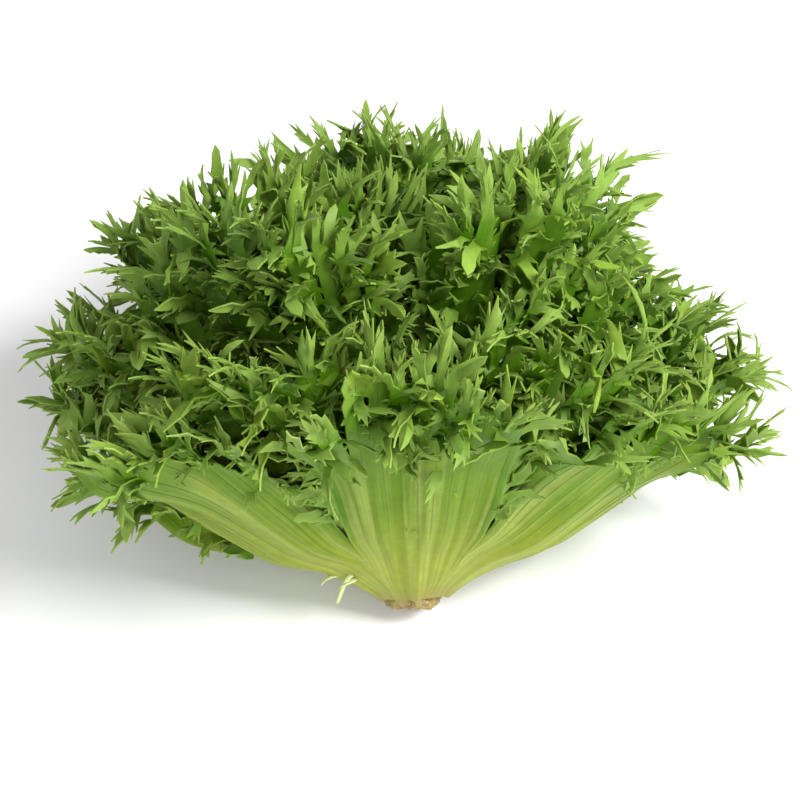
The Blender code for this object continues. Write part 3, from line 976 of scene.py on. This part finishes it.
def make_frond_kinds():
    """A collection of fronds that lie along +Y from the origin and bend up."""
    kinds = bpy.data.collections.new("frond kinds")
    for kind in range(FROND_KINDS):
        draw = random.Random(FROND_SEEDS + kind)
        frame = tuple(np.array(axis) for axis in ((0, 0, 0), (0, 1, 0), (1, 0, 0), (0, 0, 1)))
        frond = draw_lobe(draw, frame, draw.uniform(*FROND_LENGTH), draw.uniform(*FROND_HALF_BASE))
        frond["bend"] = abs(frond["bend"]) * FROND_BEND
        sheet = Sheet()
        side = np.array((-1.0, 0.0, 1.0)) * frond["half_base"]
        root = np.stack((side, np.full(3, -FROND_ROOT_DEPTH), np.zeros(3)), 1)
        first = sheet.add(root, growth=FROND_ROOT_GROWTH, rib=(0.0, 1.0, 0.0))
        add_lobe(sheet, frond, (first, first + 1, first + 2), 0.0, draw)
        flat_frond = sheet_object(sheet, f"frond_{kind}", lowest=-1.0)
        thick = thickened(flat_frond, sheet, EDGE_THICKNESS, f"thick_frond_{kind}", lowest=-1.0)
        bpy.data.objects.remove(flat_frond)
        bpy.context.scene.collection.objects.unlink(thick)
        for mark in ("across", "base", "vein", "fronds"):
            thick.data.attributes.remove(thick.data.attributes[mark])
        kinds.objects.link(thick)
    return kinds


def build_frond_tree():
    """Geometry nodes that set fronds on an open leaf and join them to its solid blade."""
    tree = bpy.data.node_groups.new("fronds", "GeometryNodeTree")
    add_sockets(
        tree,
        "INPUT",
        Geometry="Geometry",
        Blade="Object",
        Frond_Kinds="Collection",
        Fan_Point=("Vector", tuple(FAN_POINT)),
        Spacing=("Float", FROND_SPACING),
        Smallest=("Float", FROND_SIZES[0]),
        Largest=("Float", FROND_SIZES[1]),
        Inside_Share=("Float", FRONDS_INSIDE),
        Seed=("Int", 0),
        Material="Material",
    )
    add_sockets(tree, "OUTPUT", Geometry="Geometry")
    given = tree.nodes.new("NodeGroupInput").outputs

    def random_value(kind, **inputs):
        """A value of its own for each frond."""
        return add_node(tree, "FunctionNodeRandomValue", {**inputs, "Seed": given["Seed"]}, data_type=kind)

    points = add_node(
        tree,
        "GeometryNodeDistributePointsOnFaces",
        {
            "Mesh": given["Geometry"],
            "Distance Min": given["Spacing"],
            "Density Max": FRONDS_A_SQUARE_METRE,
            "Density Factor": sheet_mark(tree, "fronds"),
            "Seed": given["Seed"],
        },
        distribute_method="POISSON",
    ).outputs
    is_inside = random_value("BOOLEAN", Probability=given["Inside Share"])
    way = calculate(tree, "MULTIPLY_ADD", is_inside, -2.0, 1.0)
    face = add_node(tree, "ShaderNodeVectorMath", {0: points["Normal"], "Scale": way}, operation="SCALE")
    place = add_node(tree, "GeometryNodeInputPosition")
    growing = add_node(tree, "ShaderNodeVectorMath", {0: place, 1: given["Fan Point"]}, operation="SUBTRACT")
    standing = add_node(
        tree,
        "FunctionNodeAxesToRotation",
        {"Primary Axis": face, "Secondary Axis": growing},
        primary_axis="Z",
        secondary_axis="Y",
    )
    leaning = random_value("FLOAT_VECTOR", Min=FROND_LEANS[0], Max=FROND_LEANS[1])
    leaning = add_node(tree, "FunctionNodeEulerToRotation", {"Euler": leaning})
    turned = add_node(tree, "FunctionNodeRotateRotation", {0: standing, 1: leaning}, rotation_space="LOCAL")
    kinds = {"Collection": given["Frond Kinds"], "Separate Children": True, "Reset Children": True}
    fronds = add_node(
        tree,
        "GeometryNodeInstanceOnPoints",
        {
            "Points": points["Points"],
            "Instance": add_node(tree, "GeometryNodeCollectionInfo", kinds),
            "Pick Instance": True,
            "Instance Index": random_value("INT", Min=0, Max=FROND_KINDS - 1),
            "Rotation": turned,
            "Scale": random_value("FLOAT", Min=given["Smallest"], Max=given["Largest"]),
        },
    )
    shaded = add_node(
        tree,
        "GeometryNodeStoreNamedAttribute",
        {"Geometry": fronds, "Name": "shade", "Value": random_value("FLOAT", Min=-1.0, Max=1.0)},
        data_type="FLOAT",
        domain="INSTANCE",
    )
    blade = add_node(tree, "GeometryNodeObjectInfo", {"Object": given["Blade"]})
    joined = tree.nodes.new("GeometryNodeJoinGeometry")
    feed(tree, shaded, joined.inputs["Geometry"])
    feed(tree, blade.outputs["Geometry"], joined.inputs["Geometry"])
    return finish_tree(tree, joined, given["Material"])


FROND_TREE = build_frond_tree()
FROND_COLLECTION = make_frond_kinds()


# Every leaf: grown, veined, thickened, frilled and put in the place of the solid it stands for.
# The outer three rings have veins, joined into one piece for each group of leaves.
TONE_VARIES = 0.10
TONE_SEEDS = 7
VEINED_RINGS = (0, 1, 2)


def with_fronds(open_leaf, blade, leaf):
    """The finished leaf as an object: its solid blade with the fronds that stand on it."""
    mesh = grown_mesh(
        open_leaf,
        FROND_TREE,
        leaf["name"] + "_fine",
        Blade=blade,
        Frond_Kinds=FROND_COLLECTION,
        Seed=leaf["seed"],
        Inside_Share=FRONDS_INSIDE + FRONDS_INSIDE_VARY * math.sin(leaf["turn"]),
        Material=MATERIALS[leaf["group"]],
    )
    mesh.shade_smooth()
    mesh.set_sharp_from_angle(angle=SHARP_EDGE)
    return put(mesh.name, mesh)


LEAVES = lay_out_leaves()
vein_meshes = {"outer": [], "middle": []}
for leaf in LEAVES:
    group = leaf["group"]
    sheet = grow_leaf(leaf)
    tone = random.Random(leaf["seed"] + TONE_SEEDS).uniform(1 - TONE_VARIES, 1 + TONE_VARIES)
    open_leaf = sheet_object(sheet, leaf["name"] + "_open", tone=tone)
    if leaf["ring"] in VEINED_RINGS:
        veins = grown_mesh(open_leaf, VEIN_TREE, open_leaf.name + "_veins", Material=MATERIALS[group])
        vein_meshes[group].append(veins)
    stalk_thickness = STALK_THICKNESS - leaf["ring"] * STALK_THINS_BY
    blade = thickened(open_leaf, sheet, stalk_thickness, leaf["name"] + "_blade")
    fine = with_fronds(open_leaf, blade, leaf)
    bpy.data.objects.remove(open_leaf)
    bpy.data.objects.remove(blade)
    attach(fine, "root")
    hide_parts(leaf["name"])

for frond in list(FROND_COLLECTION.objects):
    bpy.data.objects.remove(frond)
bpy.data.collections.remove(FROND_COLLECTION)

for group, meshes in vein_meshes.items():
    veins = put(f"veins_{group}", meshes[0])
    others = [put(mesh.name, mesh) for mesh in meshes[1:]]
    with bpy.context.temp_override(active_object=veins, selected_editable_objects=[veins, *others]):
        bpy.ops.object.join()
    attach(veins, "root")


# The stem is a short core, pale and moist. Its cut end is a blunt, uneven knob that has dried and
# browned a little, and the leaves' bases run into it. Its profile is a radius and a height each.
KNOB_PROFILE = (
    (0.0, 0.0080), (0.0050, 0.0079), (0.0085, 0.0083), (0.0103, 0.0094), (0.0112, 0.0112), (0.0114, 0.0135),
    (0.0122, 0.0165), (0.0116, 0.0200), (0.0095, 0.0260), (0.0060, 0.0340), (0.0, 0.0380),
)
KNOB_SIDES = 64
KNOB_RINGS_BETWEEN = 3
KNOB_UNEVEN = 0.0007
KNOB_UNEVEN_BETWEEN = (0.002, 0.009)
KNOB_WAVES = ((1.0, 3, 420, 1.0), (0.7, 7, -610, 0.0), (0.5, 13, 900, 0.0))
KNOB_DENT_OUT = 0.8
KNOB_DENT_DOWN = 0.5
STEM_CLOUDS = {"Scale": 190.0, "Detail": 5.0}
STEM_CLOUDS_BETWEEN = (0.36, 0.66)
STEM_COLOURS = ((0.29, 0.23, 0.062, 1), (0.16, 0.095, 0.028, 1))
STEM_GRAINS = {"Scale": 900.0, "Detail": 3.0}
STEM_FLECKS_BETWEEN = (0.50, 0.75)
STEM_FLECKS = (0.38, 0.32, 0.12, 1)
STEM_BUMP = {"Strength": 0.6, "Distance": 0.0005}
STEM_ROUGHNESS = 0.6


def stem_material():
    material = new_material("stem")
    tree = material.node_tree
    place = tree.nodes.new("ShaderNodeTexCoord").outputs["Object"]
    grains = noise(tree, place, STEM_GRAINS)
    clouds = fade_in(tree, noise(tree, place, STEM_CLOUDS), *STEM_CLOUDS_BETWEEN)
    colour = blend_colours(tree, clouds, *STEM_COLOURS)
    colour = blend_colours(tree, fade_in(tree, grains, *STEM_FLECKS_BETWEEN), colour, STEM_FLECKS)
    bump = add_node(tree, "ShaderNodeBump", {"Height": grains, **STEM_BUMP})
    return finished(material, {"Base Color": colour, "Roughness": STEM_ROUGHNESS, "Normal": bump})


def tube_faces(first, rings, sides):
    """The faces of a tube, between rings of vertices that start at the first."""
    faces = []
    for low in range(first, first + (rings - 1) * sides, sides):
        for j in range(sides):
            k = (j + 1) % sides
            faces.append((low + j, low + k, low + sides + k, low + sides + j))
    return faces


def smooth_piece(name, places, faces, material):
    """An object of its own, with nothing under the surface."""
    places[:, 2] = np.maximum(places[:, 2], LOWEST)
    mesh = bpy.data.meshes.new(name)
    mesh.from_pydata(places.tolist(), [], faces)
    mesh.materials.append(material)
    mesh.shade_smooth()
    return put(name, mesh)


def make_stem():
    """The knob and its core, turned round the head's axis and dented by a few slow waves."""
    radius, up = np.array(KNOB_PROFILE).T
    steps = np.arange(len(radius))
    fine_steps = np.linspace(0, len(radius) - 1, (len(radius) - 1) * KNOB_RINGS_BETWEEN + 1)
    radius, up = np.interp(fine_steps, steps, radius)[1:-1], np.interp(fine_steps, steps, up)[1:-1]
    turn = np.linspace(0, 2 * math.pi, KNOB_SIDES, endpoint=False)
    turn, radius = np.meshgrid(turn, radius)
    up = np.broadcast_to(up[:, None], radius.shape)
    wave = 0
    for height, waves_round, waves_up, shift in KNOB_WAVES:
        wave = wave + height * np.sin(waves_round * turn + waves_up * up + shift)
    dent = KNOB_UNEVEN * wave * ramp(radius, *KNOB_UNEVEN_BETWEEN)
    radius, up = radius + dent * KNOB_DENT_OUT, up - dent * KNOB_DENT_DOWN
    places = (
        FAN_POINT
        + up[..., None] * HEAD_AXIS
        + (radius * np.cos(turn))[..., None] * HEAD_RIGHT
        + (radius * np.sin(turn))[..., None] * HEAD_UNDERSIDE
    ).reshape(-1, 3)
    ends = FAN_POINT + np.outer((KNOB_PROFILE[0][1], KNOB_PROFILE[-1][1]), HEAD_AXIS)
    rings, sides = turn.shape
    faces = tube_faces(0, rings, sides)
    low_end, high_end = rings * sides, rings * sides + 1
    for j in range(sides):
        k = (j + 1) % sides
        faces.append((low_end, k, j))
        faces.append((high_end, (rings - 1) * sides + j, (rings - 1) * sides + k))
    return smooth_piece("stem_fine", np.concatenate((places, ends)), faces, stem_material())


stem = make_stem()
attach(stem, "root")
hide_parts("stem")


# A few shreds that tore from the base of the left leaf: thin pale strips that curl and hang down.
# Each has three steps that pull its curve from its root, and its root's place on the flat leaf.
SHREDS = (
    ((-0.0020, -0.0014, 0.0006), (-0.0040, -0.0040, -0.0030), (-0.0060, -0.0060, -0.0095)),
    ((-0.0030, -0.0016, 0.0024), (-0.0058, -0.0022, 0.0012), (-0.0072, -0.0030, -0.0016)),
    ((0.0006, -0.0022, 0.0018), (-0.0026, -0.0044, 0.0028), (-0.0060, -0.0044, 0.0004)),
)
SHRED_ROOTS = ((0.006, 0.021), (0.000, 0.022), (0.004, 0.018))
SHRED_RADIUS = (0.0008, 0.0004)
SHRED_WIDENED = 1.6
SHRED_FLATTENED = 0.6
SHRED_FACES = (0.3, 0.2, 0.9)
SHRED_STEPS = 16
SHRED_SIDES = 6
SHRED_FINISH = {
    "Base Color": (0.50, 0.54, 0.25, 1),
    "Roughness": 0.5,
    "Subsurface Weight": 0.3,
    "Subsurface Radius": (0.8, 1.0, 0.4),
    "Subsurface Scale": 0.001,
}


def shred_places(pulls, start):
    """Places along a smooth curve that starts at a place and is pulled by three steps from it."""
    share = np.linspace(0, 1, SHRED_STEPS)[:, None]
    first, second, end = (np.array(pull) for pull in pulls)
    return start + 3 * share * (1 - share) ** 2 * first + 3 * share**2 * (1 - share) * second + share**3 * end


def make_shreds(leaf):
    """The shreds as closed tapering strips in one mesh."""
    places, faces = [], []
    for pulls, (x, y) in zip(SHREDS, SHRED_ROOTS):
        path = shred_places(pulls, on_leaf(leaf, [x], [y])[0])
        forward = np.gradient(path, axis=0)
        forward /= np.linalg.norm(forward, axis=1)[:, None]
        aside = np.cross(forward, SHRED_FACES)
        aside /= np.linalg.norm(aside, axis=1)[:, None]
        over = np.cross(forward, aside)
        first = len(places)
        for i, radius in enumerate(np.linspace(*SHRED_RADIUS, SHRED_STEPS)):
            for turn in (2 * math.pi * j / SHRED_SIDES for j in range(SHRED_SIDES)):
                out = SHRED_WIDENED * math.cos(turn) * aside[i] + SHRED_FLATTENED * math.sin(turn) * over[i]
                places.append(path[i] + radius * out)
        faces += tube_faces(first, SHRED_STEPS, SHRED_SIDES)
        faces.append([first + j for j in reversed(range(SHRED_SIDES))])
        faces.append([first + (SHRED_STEPS - 1) * SHRED_SIDES + j for j in range(SHRED_SIDES)])
    material = finished(new_material("shred"), SHRED_FINISH)
    return smooth_piece("torn_shreds", np.array(places), faces, material)


shreds = make_shreds(next(leaf for leaf in LEAVES if leaf["name"] == FLARED_LEAF))
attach(shreds, "root")


# The floor is a plain pale sheet that the head rests on. It is wide enough to fill the picture, and
# takes the head's soft shadow.
FLOOR_REACH = 4
FLOOR_FINISH = {"Base Color": (0.86, 0.86, 0.86, 1), "Roughness": 0.9}

floor_corners = [(FLOOR_REACH * x, FLOOR_REACH * y, 0) for x, y in ((-1, -1), (1, -1), (1, 1), (-1, 1))]
floor_mesh = bpy.data.meshes.new("floor")
floor_mesh.from_pydata(floor_corners, [], [(0, 1, 2, 3)])
floor_mesh.materials.append(finished(new_material("floor"), FLOOR_FINISH))
floor = put("floor", floor_mesh)


# Soft studio light: a wide white sky, a strong lamp up on the right, a wide weak one on the left and
# a low one in front. Each lamp is a round area light: its place, its size in metres and its watts.
SKY_STRENGTH = 0.60
LIT_POINT = Vector((0, 0, 0.07))
LAMPS = {
    "key_lamp": ((0.72, -0.36, 0.97), 0.5, 20.5),
    "fill_lamp": ((-0.9, -0.6, 0.8), 0.8, 3),
    "front_lamp": ((0.45, -1.15, 0.40), 0.7, 7),
}

world = bpy.data.worlds.new("studio")
bpy.context.scene.world = world
world.use_nodes = True
world.node_tree.nodes["Background"].inputs["Color"].default_value = (1, 1, 1, 1)
world.node_tree.nodes["Background"].inputs["Strength"].default_value = SKY_STRENGTH

for name, (place, size, power) in LAMPS.items():
    light = bpy.data.lights.new(name, "AREA")
    light.shape = "DISK"
    light.size = size
    light.energy = power
    lamp = put(name, light)
    lamp.location = place
    lamp.rotation_euler = (LIT_POINT - Vector(place)).to_track_quat("-Z", "Y").to_euler()


# The camera stands on the stem's side and looks down on the head. Its lens follows from how many of
# the picture's pixels a metre at the head takes up.
CAMERA_ELEVATION = math.radians(46)
CAMERA_AZIMUTH = math.radians(-4)
CAMERA_DISTANCE = 0.80
CAMERA_TARGET = Vector((-0.002, -0.030, 0.070))
PIXELS_PER_METRE = 2560
PICTURE_WIDTH = 800

camera_data = bpy.data.cameras.new("camera")
camera_data.lens = PIXELS_PER_METRE * CAMERA_DISTANCE / PICTURE_WIDTH * camera_data.sensor_width
camera = put("camera", camera_data)
level = math.cos(CAMERA_ELEVATION)
back = Vector((
    level * math.sin(CAMERA_AZIMUTH),
    -level * math.cos(CAMERA_AZIMUTH),
    math.sin(CAMERA_ELEVATION),
))
camera.location = CAMERA_TARGET + CAMERA_DISTANCE * back
camera.rotation_euler = (-back).to_track_quat("-Z", "Y").to_euler()
bpy.context.scene.camera = camera

bpy.context.scene.view_settings.view_transform = "Standard"
